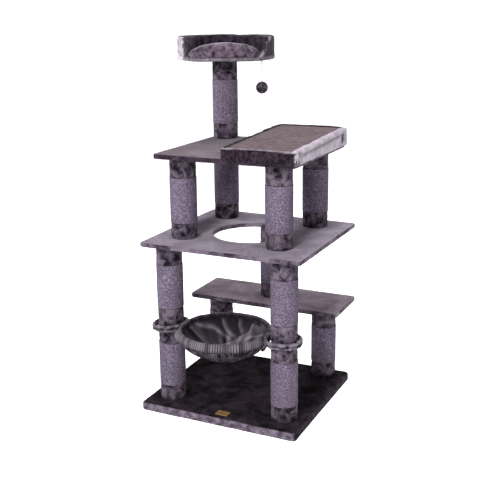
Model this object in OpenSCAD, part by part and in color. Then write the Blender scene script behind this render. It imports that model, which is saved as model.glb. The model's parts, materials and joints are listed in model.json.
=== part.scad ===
// Cat tree with sisal posts: a plush base, a raised rear shelf, a main platform with a
// round climbing hole, an upper platform with a padded lounger, a walled bed on top, a
// hammock on a steel frame between the front posts and a pompom on a cord.
// Origin: middle of the base's underside. +X is right, +Y is back, +Z is up.

/* [Posts] */
// Outside diameter of a sisal-wound post
post_d = 120; // [112:1:124]
// Length of a full post section
section_h = 370; // [350:5:390]
// Thickness of the sisal winding
sisal_t = 6; // [5:1:8]
// How far a plush cuff stands back from the sisal
cuff_step = 2; // [1:0.5:3]
// Height of the plush cuff at a section's foot
foot_cuff_h = 74; // [50:2:100]
// Height of the plush cuff at a section's head
head_cuff_h = 94; // [50:2:120]
// Wall of the cardboard core tube
tube_wall = 4; // [3:1:8]
// Thickness of the wooden plug in each end of a tube
plug_t = 18; // [15:1:25]
// Diameter of the joining studs
stud_d = 8; // [6:1:10]

/* [Boards] */
// Width of the base and of the main platform
board_w = 760; // [750:5:800]
// Depth of the base and of the main platform
board_d = 704; // [702:2:740]
// Thickness of the covered base
base_t = 38; // [34:1:50]
// Thickness of a covered platform or shelf
platform_t = 20; // [18:1:26]
// Thickness of the plush on the boards
plush_t = 3; // [2:0.5:4]
// Corner radius of the boards
board_corner_r = 16; // [10:1:24]
// Width of the rear shelf
shelf_w = 768; // [740:4:800]
// Depth of the rear shelf
shelf_d = 284; // [260:4:300]
// Width of the upper platform
upper_w = 656; // [640:4:680]
// Depth of the upper platform
upper_d = 612; // [604:4:620]
// Radius of the climbing hole in the main platform
hole_r = 176; // [150:2:185]

/* [Lounger] */
// Height of the lounger's front edge above the upper platform
lounger_front_h = 47; // [40:1:60]
// Height of the lounger's back edge above the upper platform
lounger_back_h = 72; // [60:1:90]
// Width of the padded rim at the mat's front, back and left
rim_w = 14; // [14:1:24]
// Width of the padded roll at the mat's right
right_roll_w = 26; // [20:1:36]
// How far the padded rim stands above the frame
rim_h = 14; // [12:1:18]
// Thickness of the mat
mat_t = 10; // [5:1:11]
// Thickness of the padding on the frame's sides
lounger_pad_t = 12; // [9:1:13]

/* [Top bed] */
// Outer diameter of the round top bed
bed_d = 452; // [430:2:470]
// Height of the bed's wall, from its underside
bed_h = 106; // [96:1:120]
// Thickness of the padded wall
bed_wall_t = 42; // [36:1:48]
// How far the bed's entrance is turned to the right of straight ahead, in degrees
bed_turn = 23; // [-45:1:45]
// Angle that the entrance takes of the wall, in degrees
entrance_angle = 88; // [60:2:120]
// Height of the entrance bolster's middle, from the bed's underside
bolster_h = 88; // [76:1:92]

/* [Hammock] */
// Radius of the hoop, to the middle of its rod
hoop_r = 199; // [197:1:202]
// Radius of the ring round each post, to the middle of its rod
ring_r = 77; // [76:1:78]
// How far the outer end of the left ring has sagged, in degrees
left_ring_sag = 6; // [0:1:7]
// How far the outer end of the right ring has sagged, in degrees
right_ring_sag = 1; // [0:1:7]
// Diameter of the steel rod
rod_d = 10; // [8:1:10]
// Depth of the fabric bowl below the rod
bowl_depth = 130; // [100:2:160]
// Thickness of the quilted bowl fabric
bowl_t = 6; // [5:1:8]
// Thickness of the flat bar clamped in the post joint
bar_t = 2; // [2:1:3]

/* [Toy] */
// Diameter of the pompom
pompom_d = 62; // [50:2:70]
// Diameter of the toy's cord
toy_cord_d = 2; // [2:0.5:3]
// Height from the bed's underside down to the middle of the pompom
toy_drop = 135; // [120:1:150]

/* [Hidden] */
$fn = 64;
// Levels
joint_z = base_t + section_h;
shelf_z = joint_z - platform_t;
main_z = base_t + 2 * section_h;
main_top = main_z + platform_t;
upper_z = main_top + section_h;
upper_top = upper_z + platform_t;
bed_z = upper_top + section_h;
// Middles of the boards
main_at = [17, 8];
shelf_at = [-4, 290];
upper_at = [31, -8];
// Middles of the front posts, to the left and right, and of the post under the bed
front_post_x = 280;
front_post_y = -230;
top_post_at = [-222, 237];
// Post sections: name, x, y, bottom, length
POSTS = [
    ["front_left_lower", -front_post_x, front_post_y, base_t, section_h],
    ["front_left_mid", -front_post_x, front_post_y, joint_z + bar_t, section_h - bar_t],
    ["front_right_lower", front_post_x, front_post_y, base_t, section_h],
    ["front_right_mid", front_post_x, front_post_y, joint_z + bar_t, section_h - bar_t],
    ["rear_left_short", -290, 290, base_t, section_h - platform_t],
    ["rear_right_short", 268, 290, base_t, section_h - platform_t],
    ["rear_middle", -3, 290, joint_z, section_h],
    ["upper_front_left", -223, -185, main_top, section_h],
    ["upper_front_right", 237, -185, main_top, section_h],
    ["upper_rear_left", top_post_at[0], top_post_at[1], main_top, section_h],
    ["upper_rear_right", 238, 237, main_top, section_h],
    ["top", top_post_at[0], top_post_at[1], upper_top, section_h]
];
tube_r = post_d / 2 - sisal_t;
cuff_r = post_d / 2 - cuff_step;
stud_grip = platform_t - plush_t - 1;
// Lounger: outer box over the right-hand part of the upper platform
lounger_x = [26, 370];
lounger_y = [-322, 306];
lounger_corner_r = 20;
skirt_h = 10;
frame_wall = 15;
frame_panel_t = 6;
lounger_at = [(lounger_x[0] + lounger_x[1]) / 2, (lounger_y[0] + lounger_y[1]) / 2];
lounger_size = [lounger_x[1] - lounger_x[0], lounger_y[1] - lounger_y[0]];
mat_at = [lounger_at[0] + (rim_w - right_roll_w) / 2, lounger_at[1]];
mat_size = [lounger_size[0] - rim_w - right_roll_w, lounger_size[1] - 2 * rim_w];
// Bed: its middle, the board under the pad, and the skin under the board
bed_at = [top_post_at[0] + 8, top_post_at[1]];
bed_skin_t = 4;
bed_board_t = 12;
bed_board_inset = 8;
bed_floor_z = bed_z + bed_skin_t + bed_board_t;
bed_pad_t = 20;
// Hammock: its rods lie just under the joint between the stacked posts
rod_z = joint_z - 2.5;
hammock_at = [-5, front_post_y];
bar_w = 24;
bar_level_half = 61;
hoop_sleeve_r = 11;
ring_sleeve_r = 9;
sleeve_drop = 8;
fabric_gap = 0.5;
// Label plate on the base
label_at = [14, -306];
label_size = [60, 38, 1];
// Toy: where its hook is screwed in, and the wire of hook and link
toy_at = [-62, 306];
wire_d = 2;
wire_ring_r = 4.5;
wire_gap = 0.3;
hook_plate_t = 1.5;
hook_z = bed_z - hook_plate_t - wire_ring_r;
link_z = hook_z - 2 * wire_ring_r + wire_d + wire_gap;
cord_top_z = link_z - wire_ring_r - wire_d / 2 - wire_gap;
pompom_z = bed_z - toy_drop;
cord_end_z = pompom_z + pompom_d / 2;
// Route of the toy's cord, from the link down to the pompom
CORD_ROUTE = [for (i = [0 : 14]) [toy_at[0], toy_at[1], cord_top_z + (cord_end_z - cord_top_z) * i / 14]];
cord_sides = 8;

// ---- Shared shapes ----

// A tube or disc standing on z0
module pipe(outer_r, inner_r, z0, h) {
    translate([0, 0, z0])
        difference() {
            cylinder(r = outer_r, h = h);
            translate([0, 0, -1]) cylinder(r = inner_r, h = h + 2);
        }
}

// A rectangle with round corners, in the middle of its own frame
module round_rect(w, d, r) {
    square([w - 2 * r, d], center = true);
    square([w, d - 2 * r], center = true);
    for (sx = [-1, 1], sy = [-1, 1])
        translate([sx * (w / 2 - r), sy * (d / 2 - r)]) circle(r = r);
}

// A slab with round corners, its middle at the given place, standing on z0
module slab(at, w, d, r, z0, h) {
    translate([at[0], at[1], z0]) linear_extrude(h) round_rect(w, d, r);
}

// The wooden board inside a plush cover
module board(at, w, d, z0, t) {
    slab(at, w - 2 * plush_t, d - 2 * plush_t, board_corner_r - plush_t, z0 + plush_t, t - 2 * plush_t);
}

// The plush cover wrapped round a board
module cover(at, w, d, z0, t) {
    difference() {
        slab(at, w, d, board_corner_r, z0, t);
        board(at, w, d, z0, t);
    }
}

// ---- Post sections ----

module tube(p) {
    color("burlywood")
        translate([p[1], p[2], 0]) pipe(tube_r, tube_r - tube_wall, p[3], p[4]);
}

module sisal(p) {
    color([0.50, 0.46, 0.54])
        translate([p[1], p[2], 0]) pipe(post_d / 2, tube_r, p[3] + foot_cuff_h, p[4] - foot_cuff_h - head_cuff_h);
}

module cuffs(p) {
    color([0.30, 0.28, 0.33])
        translate([p[1], p[2], p[3]]) {
            pipe(cuff_r, tube_r, 0, foot_cuff_h);
            pipe(cuff_r, tube_r, p[4] - head_cuff_h, head_cuff_h);
        }
}

module post_end_plugs() {
    color("tan")
        difference() {
            for (p = POSTS, z0 = [p[3], p[3] + p[4] - plug_t])
                translate([p[1], p[2], z0]) cylinder(r = tube_r - tube_wall, h = plug_t);
            studs();
        }
}

// One stud from z0 up to z1 on the axis of a post section
module stud(p, z0, z1) {
    translate([p[1], p[2], z0]) cylinder(r = stud_d / 2, h = z1 - z0);
}

// Each section has a stud at its foot. A stud at a section's top is drawn with the section
// above it where the two are in line, and on its own where the section ends under a board.
module studs() {
    for (i = [0 : len(POSTS) - 1]) {
        p = POSTS[i];
        foot = p[3];
        head = p[3] + p[4];
        above_joint = i == 1 || i == 3;
        under_joint = i == 0 || i == 2;
        on_stud_from_below = i == len(POSTS) - 1;
        through_to_top = i == len(POSTS) - 3;
        if (!above_joint && !on_stud_from_below) stud(p, foot - stud_grip, foot + plug_t);
        if (under_joint) stud(p, head - plug_t, head + bar_t + plug_t);
        if (through_to_top) stud(p, head - plug_t, head + platform_t + plug_t);
        if (on_stud_from_below) stud(p, head - plug_t, head + bed_skin_t + bed_board_t - 1);
        if (!under_joint && !through_to_top && !on_stud_from_below) stud(p, head - plug_t, head + stud_grip);
    }
}

module joining_studs() {
    color("silver") studs();
}

// ---- Boards ----

module base_board() {
    color("tan")
        difference() {
            board([0, 0], board_w, board_d, 0, base_t);
            studs();
        }
}

module base_cover() {
    color([0.20, 0.18, 0.22])
        difference() {
            cover([0, 0], board_w, board_d, 0, base_t);
            studs();
        }
}

module label_plate() {
    color("goldenrod")
        translate([label_at[0] - label_size[0] / 2, label_at[1] - label_size[1] / 2, base_t])
            cube(label_size);
}

module lower_shelf_board() {
    color("tan")
        difference() {
            board(shelf_at, shelf_w, shelf_d, shelf_z, platform_t);
            studs();
        }
}

module lower_shelf_cover() {
    color([0.40, 0.37, 0.43])
        difference() {
            cover(shelf_at, shelf_w, shelf_d, shelf_z, platform_t);
            studs();
        }
}

// The climbing hole's cylinder, of radius r, through the main platform
module climbing_hole(r) {
    translate([main_at[0] + 5, main_at[1] - 1, main_z - 1]) cylinder(r = r, h = platform_t + 2, $fn = 96);
}

module main_platform_board() {
    color("tan")
        difference() {
            board(main_at, board_w, board_d, main_z, platform_t);
            climbing_hole(hole_r + plush_t);
            studs();
        }
}

module main_platform_cover() {
    color([0.55, 0.51, 0.57])
        difference() {
            slab(main_at, board_w, board_d, board_corner_r, main_z, platform_t);
            difference() {
                board(main_at, board_w, board_d, main_z, platform_t);
                climbing_hole(hole_r + plush_t);
            }
            climbing_hole(hole_r);
            studs();
        }
}

module upper_platform_board() {
    color("tan")
        difference() {
            board(upper_at, upper_w, upper_d, upper_z, platform_t);
            studs();
        }
}

module upper_platform_cover() {
    color([0.45, 0.41, 0.47])
        difference() {
            cover(upper_at, upper_w, upper_d, upper_z, platform_t);
            studs();
        }
}

// ---- Lounger ----

// The space below the lounger's sloping top, lowered by the given amount
module under_slope(drop) {
    beyond = 20;
    rise = (lounger_back_h - lounger_front_h) / lounger_size[1] * beyond;
    translate([lounger_x[0] - beyond, 0, upper_top])
        rotate([90, 0, 90])
            linear_extrude(lounger_size[0] + 2 * beyond)
                polygon([
                    [lounger_y[0] - beyond, -platform_t],
                    [lounger_y[1] + beyond, -platform_t],
                    [lounger_y[1] + beyond, lounger_back_h + rise - drop],
                    [lounger_y[0] - beyond, lounger_front_h - rise - drop]
                ]);
}

// The corner radius of the lounger's outline when it is inset
function inset_corner_r(inset) = max(lounger_corner_r - inset, 4);

// The lounger's outline, inset, standing on the platform and cut by the lowered slope
module lounger_block(inset, drop, z0 = upper_top) {
    intersection() {
        slab(
            lounger_at, lounger_size[0] - 2 * inset, lounger_size[1] - 2 * inset,
            inset_corner_r(inset), z0, lounger_back_h + skirt_h + 1
        );
        under_slope(drop);
    }
}

module lounger_frame() {
    color("tan")
        difference() {
            lounger_block(lounger_pad_t, rim_h);
            lounger_block(lounger_pad_t + frame_wall, rim_h + frame_panel_t, upper_top - 1);
        }
}

module lounger_cover() {
    color([0.62, 0.58, 0.64])
        difference() {
            lounger_block(0, 0, upper_top - skirt_h);
            slab(upper_at, upper_w, upper_d, board_corner_r, upper_z, platform_t);
            lounger_block(lounger_pad_t, rim_h, upper_top - 1);
            slab(mat_at, mat_size[0], mat_size[1], inset_corner_r(rim_w), upper_top + 1, lounger_back_h);
        }
}

module lounger_mat() {
    color([0.45, 0.41, 0.40])
        difference() {
            intersection() {
                slab(mat_at, mat_size[0], mat_size[1], inset_corner_r(rim_w), upper_top, lounger_back_h);
                under_slope(rim_h - mat_t);
            }
            under_slope(rim_h);
        }
}

// ---- Top bed ----

// Places a shape at the bed's middle, with -Y towards the entrance
module at_bed(z0) {
    translate([bed_at[0], bed_at[1], z0]) rotate(bed_turn) children();
}

module bed_board() {
    color("tan")
        difference() {
            at_bed(bed_z + bed_skin_t) cylinder(r = bed_d / 2 - bed_board_inset, h = bed_board_t, $fn = 128);
            studs();
        }
}

// The space inside the bed's wall, from its own z = 0 up
module bed_inside() {
    cylinder(r = bed_d / 2 - bed_wall_t, h = bed_h + 1, $fn = 128);
}

// The wedge that the entrance takes out of the wall, from its own z = 0 up
module entrance_wedge() {
    side = [sin(entrance_angle / 2), cos(entrance_angle / 2)];
    linear_extrude(bed_h + 1)
        polygon(bed_d * [[0, 0], [-side[0], -side[1]], [0, -1], [side[0], -side[1]]]);
}

module bed_walls() {
    color([0.34, 0.31, 0.36])
        difference() {
            at_bed(bed_z) cylinder(r = bed_d / 2, h = bed_h, $fn = 128);
            at_bed(bed_floor_z) bed_inside();
            at_bed(bed_floor_z) entrance_wedge();
            at_bed(bed_z + bed_skin_t) cylinder(r = bed_d / 2 - bed_board_inset, h = bed_board_t, $fn = 128);
            studs();
        }
}

// The bolster lies in the entrance
module bed_bolster() {
    color([0.50, 0.47, 0.53])
        at_bed(bed_floor_z)
            intersection() {
                difference() {
                    cylinder(r = bed_d / 2, h = bed_z + bolster_h - bed_floor_z, $fn = 128);
                    translate([0, 0, -1]) bed_inside();
                }
                translate([0, 0, -1]) entrance_wedge();
            }
}

module bed_pad() {
    color([0.28, 0.26, 0.30])
        at_bed(bed_floor_z) cylinder(r = bed_d / 2 - bed_wall_t, h = bed_pad_t, $fn = 128);
}

// ---- Hammock ----

// A ring of round rod lying flat in its own frame
module rod_ring(r) {
    rotate_extrude($fn = 128) translate([r, 0]) circle(d = rod_d, $fn = 32);
}

// Places a ring's parts round a front post, hinged down by its sag where it meets the hoop
module at_ring(side) {
    sag = side < 0 ? left_ring_sag : right_ring_sag;
    translate([hammock_at[0] + side * (front_post_x - ring_r), hammock_at[1], rod_z])
        rotate([0, side * sag, 0]) translate([side * ring_r, 0, 0]) children();
}

module at_hoop() {
    translate([hammock_at[0], hammock_at[1], rod_z]) children();
}

// The flat bar of one ring: level in the post joint, with each end bent down to the rod
module clamp_bar(side) {
    sag = side < 0 ? left_ring_sag : right_ring_sag;
    inner_x = front_post_x - ring_r + side * hammock_at[0];
    outer_x = inner_x + 2 * ring_r * cos(sag);
    outer_z = rod_z - 2 * ring_r * sin(sag);
    level = [front_post_x - bar_level_half, front_post_x + bar_level_half];
    mirror([side < 0 ? 1 : 0, 0, 0])
        translate([0, front_post_y + bar_w / 2, 0])
            rotate([90, 0, 0])
                linear_extrude(bar_w)
                    polygon([
                        [inner_x, rod_z], [level[0], joint_z], [level[1], joint_z], [outer_x, outer_z],
                        [outer_x, outer_z + bar_t], [level[1], joint_z + bar_t],
                        [level[0], joint_z + bar_t], [inner_x, rod_z + bar_t]
                    ]);
}

module hammock_frame() {
    color("dimgray")
        difference() {
            union() {
                at_hoop() rod_ring(hoop_r);
                for (side = [-1, 1]) {
                    at_ring(side) rod_ring(ring_r);
                    clamp_bar(side);
                }
            }
            studs();
        }
}

// The cross-section of a fabric sleeve that hangs from a rod, half-width r
module sleeve_section(r) {
    square([2 * r, sleeve_drop], center = true);
    for (z = [-sleeve_drop / 2, sleeve_drop / 2]) translate([0, z]) circle(r = r, $fn = 32);
}

// A ring-shaped fabric sleeve round a rod ring, with the rod's own channel left free
module rod_sleeve(r, half_w) {
    rotate_extrude($fn = 128)
        difference() {
            translate([r, -sleeve_drop / 2]) sleeve_section(half_w);
            translate([r, 0]) circle(d = rod_d, $fn = 32);
        }
}

// A bowl wall's point at angle a below the rim, for a bowl of the given size
function bowl_point(r, depth, a) = [r * cos(a), -depth * sin(a)];

module bowl() {
    rim_drop = sleeve_drop + hoop_sleeve_r / 2;
    depth = bowl_depth - rim_drop;
    outer_r = hoop_r + bowl_t;
    steps = 14;
    angles = [for (i = [0 : steps]) 90 * i / steps];
    outline = concat(
        [for (a = angles) bowl_point(outer_r, depth, a)],
        [for (i = [steps : -1 : 0]) bowl_point(outer_r - bowl_t, depth - bowl_t, angles[i])]
    );
    translate([0, 0, -rim_drop]) rotate_extrude($fn = 128) polygon(outline);
}

module hammock_fabric() {
    tall = 6 * sleeve_drop;
    color([0.16, 0.14, 0.18]) {
        difference() {
            at_hoop() {
                rod_sleeve(hoop_r, hoop_sleeve_r);
                bowl();
            }
            for (side = [-1, 1])
                translate([hammock_at[0] + side * front_post_x, hammock_at[1], rod_z - sleeve_drop])
                    cylinder(r = ring_r + rod_d / 2 + fabric_gap, h = tall);
        }
        for (side = [-1, 1])
            difference() {
                at_ring(side) rod_sleeve(ring_r, ring_sleeve_r);
                translate([hammock_at[0], hammock_at[1], rod_z - tall])
                    cylinder(r = hoop_r + hoop_sleeve_r + fabric_gap, h = 2 * tall, $fn = 128);
                clamp_bar(side);
            }
    }
}

// ---- Toy ----

// A small wire ring, its middle at height z below the hook's place
module wire_ring(z, turn) {
    translate([toy_at[0], toy_at[1], z])
        rotate([90, 0, turn]) rotate_extrude() translate([wire_ring_r, 0]) circle(d = wire_d, $fn = 24);
}

module toy_hook() {
    color("silver") {
        translate([toy_at[0], toy_at[1], bed_z - hook_plate_t]) cylinder(r = 8, h = hook_plate_t);
        wire_ring(hook_z, 0);
    }
}

module toy_link() {
    color("silver") wire_ring(link_z, 90);
}

// The route's ring of points number i, and the faces between it and the next ring
function cord_ring(i) = [
    for (s = [0 : cord_sides - 1])
        CORD_ROUTE[i] + toy_cord_d / 2 * [cos(360 * s / cord_sides), sin(360 * s / cord_sides), 0]
];
function cord_quad(i, s) = [
    i * cord_sides + s,
    (i + 1) * cord_sides + s,
    (i + 1) * cord_sides + (s + 1) % cord_sides,
    i * cord_sides + (s + 1) % cord_sides
];

module toy_cord() {
    last = len(CORD_ROUTE) - 1;
    points = [for (i = [0 : last], v = cord_ring(i)) v];
    faces = concat(
        [[for (s = [0 : cord_sides - 1]) s]],
        [for (i = [0 : last - 1], s = [0 : cord_sides - 1]) cord_quad(i, s)],
        [[for (s = [cord_sides - 1 : -1 : 0]) last * cord_sides + s]]
    );
    color("gainsboro") polyhedron(points = points, faces = faces);
}

module toy_pompom() {
    color([0.25, 0.23, 0.27]) translate([toy_at[0], toy_at[1], pompom_z]) sphere(d = pompom_d);
}

// ---- Output ----

for (p = POSTS) {
    tube(p);
    sisal(p);
    cuffs(p);
}
post_end_plugs();
joining_studs();
base_board();
base_cover();
label_plate();
lower_shelf_board();
lower_shelf_cover();
main_platform_board();
main_platform_cover();
upper_platform_board();
upper_platform_cover();
lounger_frame();
lounger_cover();
lounger_mat();
bed_board();
bed_walls();
bed_bolster();
bed_pad();
hammock_frame();
hammock_fabric();
toy_hook();
toy_link();
toy_cord();
toy_pompom();
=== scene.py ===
import bpy
import bmesh
import json
import math
import numpy as np
from mathutils import Matrix, Vector


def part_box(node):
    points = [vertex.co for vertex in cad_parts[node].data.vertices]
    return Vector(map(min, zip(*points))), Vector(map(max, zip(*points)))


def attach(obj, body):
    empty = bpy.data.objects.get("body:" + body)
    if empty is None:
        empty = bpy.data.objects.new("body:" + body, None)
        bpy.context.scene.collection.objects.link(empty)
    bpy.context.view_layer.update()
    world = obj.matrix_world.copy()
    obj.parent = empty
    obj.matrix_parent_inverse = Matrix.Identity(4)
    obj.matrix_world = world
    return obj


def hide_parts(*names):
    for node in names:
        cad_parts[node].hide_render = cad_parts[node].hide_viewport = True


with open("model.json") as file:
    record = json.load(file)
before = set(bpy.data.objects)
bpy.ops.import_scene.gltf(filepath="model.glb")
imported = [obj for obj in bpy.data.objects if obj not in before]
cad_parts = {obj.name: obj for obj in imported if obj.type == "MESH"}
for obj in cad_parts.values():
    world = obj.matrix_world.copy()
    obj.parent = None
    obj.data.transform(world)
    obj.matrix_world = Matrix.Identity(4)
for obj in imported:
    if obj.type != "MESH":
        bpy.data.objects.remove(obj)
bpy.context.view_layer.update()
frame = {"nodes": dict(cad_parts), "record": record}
NODES = frame["nodes"]
POSTS = [n[len("sisal_"):] for n in NODES if n.startswith("sisal_")]
TAU = 2 * math.pi

# ---------------------------------------------------------------- camera
CAMERA_PLACE = (1.619, -3.398, 1.784)
CAMERA_AZIMUTH, CAMERA_PITCH, CAMERA_ROLL = 25.362, -14.357, -0.569
CAMERA_LENS_MM = 61.49
CAMERA_SHIFT = (0.002, -0.045)

cam = bpy.data.objects.new("camera", bpy.data.cameras.new("camera"))
bpy.context.scene.collection.objects.link(cam)
cam.matrix_world = (
    Matrix.Translation(CAMERA_PLACE)
    @ Matrix.Rotation(math.radians(CAMERA_AZIMUTH), 4, "Z")
    @ Matrix.Rotation(math.radians(90 + CAMERA_PITCH), 4, "X")
    @ Matrix.Rotation(math.radians(CAMERA_ROLL), 4, "Z")
)
cam.data.lens = CAMERA_LENS_MM
cam.data.shift_x, cam.data.shift_y = CAMERA_SHIFT
bpy.context.scene.camera = cam


# ---------------------------------------------------------------- shapes
def lattice(ix, iy, iz, seed):
    """A repeatable value from -1 to 1 for each lattice point."""
    h = (ix * 374761393 + iy * 668265263 + iz * 1440662683 + seed * 1274126177) & 0xFFFFFFFF
    h = ((h ^ (h >> 13)) * 1103515245) & 0xFFFFFFFF
    h = ((h ^ (h >> 15)) * 668265263) & 0xFFFFFFFF
    return ((h ^ (h >> 16)) & 0xFFFF) / 32767.5 - 1


def noise(p, size, seed=0):
    """Smooth noise from -1 to 1 at the points p, with features of the given size."""
    q = np.asarray(p, float) / size
    i = np.floor(q).astype(np.int64)
    f = q - i
    f = f * f * (3 - 2 * f)
    out = np.zeros(len(q))
    for dx in (0, 1):
        for dy in (0, 1):
            for dz in (0, 1):
                w = (
                    (f[:, 0] if dx else 1 - f[:, 0])
                    * (f[:, 1] if dy else 1 - f[:, 1])
                    * (f[:, 2] if dz else 1 - f[:, 2])
                )
                out += w * lattice(i[:, 0] + dx, i[:, 1] + dy, i[:, 2] + dz, seed)
    return out


def coords(me):
    co = np.empty(len(me.vertices) * 3)
    me.vertices.foreach_get("co", co)
    return co.reshape(-1, 3)


def normals(me):
    no = np.empty(len(me.vertices) * 3)
    me.vertices.foreach_get("normal", no)
    return no.reshape(-1, 3)


def set_coords(me, co):
    me.vertices.foreach_set("co", np.ascontiguousarray(co, float).ravel())
    me.update()


def half_width(node):
    """Half of a CAD node's size in X, which is the radius of a round upright one."""
    lo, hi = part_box(node)
    return (hi.x - lo.x) / 2


def circle(x, y, r, count):
    """Points on a circle in plan, with the first at +X."""
    return [
        (x + r * math.cos(TAU * k / count), y + r * math.sin(TAU * k / count)) for k in range(count)
    ]


def new_object(name, me):
    o = bpy.data.objects.new(name, me)
    bpy.context.scene.collection.objects.link(o)
    return o


def from_data(name, verts, faces):
    me = bpy.data.meshes.new(name)
    me.from_pydata([tuple(map(float, v)) for v in verts], [], [tuple(map(int, f)) for f in faces])
    me.update()
    return new_object(name, me)


def from_bmesh(name, bm):
    """A new object with bm's mesh. bm is freed."""
    me = bpy.data.meshes.new(name)
    bm.to_mesh(me)
    bm.free()
    return new_object(name, me)


def outward(me):
    """Turns every face of a closed mesh to look outwards."""
    bm = bmesh.new()
    bm.from_mesh(me)
    bmesh.ops.recalc_face_normals(bm, faces=bm.faces)
    bm.to_mesh(me)
    bm.free()
    me.update()


def evaluated_mesh(o):
    graph = bpy.context.evaluated_depsgraph_get()
    return bpy.data.meshes.new_from_object(o.evaluated_get(graph))


def apply_modifiers(o):
    me, old = evaluated_mesh(o), o.data
    o.modifiers.clear()
    o.data = me
    bpy.data.meshes.remove(old)


def main_shell(me):
    """Removes everything but the largest connected shell."""
    bm = bmesh.new()
    bm.from_mesh(me)
    bm.verts.ensure_lookup_table()
    label, shells = [-1] * len(bm.verts), []
    for v in bm.verts:
        if label[v.index] >= 0:
            continue
        stack, found = [v], []
        label[v.index] = len(shells)
        while stack:
            a = stack.pop()
            found.append(a)
            for e in a.link_edges:
                b = e.other_vert(a)
                if label[b.index] < 0:
                    label[b.index] = len(shells)
                    stack.append(b)
        shells.append(found)
    keep = max(range(len(shells)), key=lambda i: len(shells[i]))
    for i, found in enumerate(shells):
        if i != keep:
            bmesh.ops.delete(bm, geom=found, context="VERTS")
    bm.to_mesh(me)
    bm.free()
    me.update()


def relax(me, times, factor=0.5):
    """Rounds a mesh's edges by moving each point towards the middle of its neighbours."""
    e = np.empty(len(me.edges) * 2, np.int32)
    me.edges.foreach_get("vertices", e)
    e = e.reshape(-1, 2)
    co = coords(me)
    count = np.bincount(e.ravel(), minlength=len(co)).astype(float)
    for _ in range(times):
        mean = np.stack(
            [
                np.bincount(e[:, 0], co[e[:, 1], k], len(co))
                + np.bincount(e[:, 1], co[e[:, 0], k], len(co))
                for k in range(3)
            ],
            axis=1,
        ) / count[:, None]
        co += factor * (mean - co)
    set_coords(me, co)


def remesh(o, voxel):
    """Rebuilds o as one closed skin of even squares about voxel metres wide."""
    m = o.modifiers.new("remesh", "REMESH")
    m.mode = "VOXEL"
    m.voxel_size = voxel
    m.adaptivity = 0
    apply_modifiers(o)
    main_shell(o.data)


def joined_copy(name, nodes):
    """One new mesh with the CAD nodes' own shapes in it."""
    bm = bmesh.new()
    for n in nodes:
        bm.from_mesh(NODES[n].data)
    return from_bmesh(name, bm)


def puff(o, pressure, cap, hold=None):
    """Swells a closed mesh with air by cloth simulation. No point moves further than cap, and the
    points that hold(co) picks stay put."""
    rest = coords(o.data)
    pinned = hold(rest) if hold else np.zeros(len(rest), bool)
    group = o.vertex_groups.new(name="held")
    group.add([int(i) for i in np.flatnonzero(pinned)], 1.0, "REPLACE")
    m = o.modifiers.new("cloth", "CLOTH")
    s = m.settings
    s.quality = 5
    s.use_pressure = True
    s.uniform_pressure_force = pressure
    s.effector_weights.gravity = 0
    s.tension_stiffness = s.compression_stiffness = 25
    s.bending_stiffness = 2
    if pinned.any():
        s.vertex_group_mass = "held"
    frames = 20
    m.point_cache.frame_start, m.point_cache.frame_end = 1, frames
    scene = bpy.context.scene
    for f in range(1, frames + 1):
        scene.frame_set(f)
    done = evaluated_mesh(o)
    move = coords(done) - rest
    bpy.data.meshes.remove(done)
    o.modifiers.clear()
    o.vertex_groups.clear()
    scene.frame_set(1)
    length = np.linalg.norm(move, axis=1)
    move *= (cap * np.tanh(length / cap) / np.maximum(length, 1e-9))[:, None]
    set_coords(o.data, rest + move)


def ruffle(me, *layers):
    """Moves each point along its normal by noise: layers of (size, height, seed)."""
    co, no = coords(me), normals(me)
    total = sum(height * noise(co, size, seed) for size, height, seed in layers)
    set_coords(me, co + no * total[:, None])


def set_painted_light(me, values):
    """The painted light at each vertex, 0 to 1: how far plush's lit colour, its last argument, covers the
    colour there.
    """
    values = np.clip(np.asarray(values, float), 0, 1).astype(np.float32)
    me.attributes.new("painted_light", "FLOAT", "POINT").data.foreach_set("value", values)


def step(x, a, b):
    """0 below a, 1 above b, and a smooth change between them."""
    t = np.clip((x - a) / (b - a), 0, 1)
    return t * t * (3 - 2 * t)


def finish_piece(o, mat, slot, body, *replaces, smooth=True):
    """Gives a piece its material, its body and the CAD nodes that it stands for. Its slot argument is not
    used.
    """
    o.data.materials.clear()
    o.data.materials.append(mat)
    if smooth:
        o.data.polygons.foreach_set("use_smooth", [True] * len(o.data.polygons))
    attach(o, body)
    if replaces:
        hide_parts(*replaces)
    return o


def tube_rings(rings, closed=False):
    """Faces between rings of points, each with the same number of points. The last ring joins the
    first if closed, and otherwise both ends are capped."""
    n, m = len(rings), len(rings[0])
    verts = [p for ring in rings for p in ring]
    faces = []
    for i in range(n if closed else n - 1):
        j = (i + 1) % n
        for k in range(m):
            l = (k + 1) % m
            faces.append((i * m + k, i * m + l, j * m + l, j * m + k))
    if not closed:
        faces.append(tuple(range(m - 1, -1, -1)))
        faces.append(tuple((n - 1) * m + k for k in range(m)))
    return verts, faces


# ---------------------------------------------------------------- materials
def lin(rgb):
    """An sRGB colour, 0 to 255, as linear values with alpha."""
    c = [v / 255 for v in rgb]
    return tuple(v / 12.92 if v <= 0.04045 else ((v + 0.055) / 1.055) ** 2.4 for v in c) + (1,)


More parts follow.
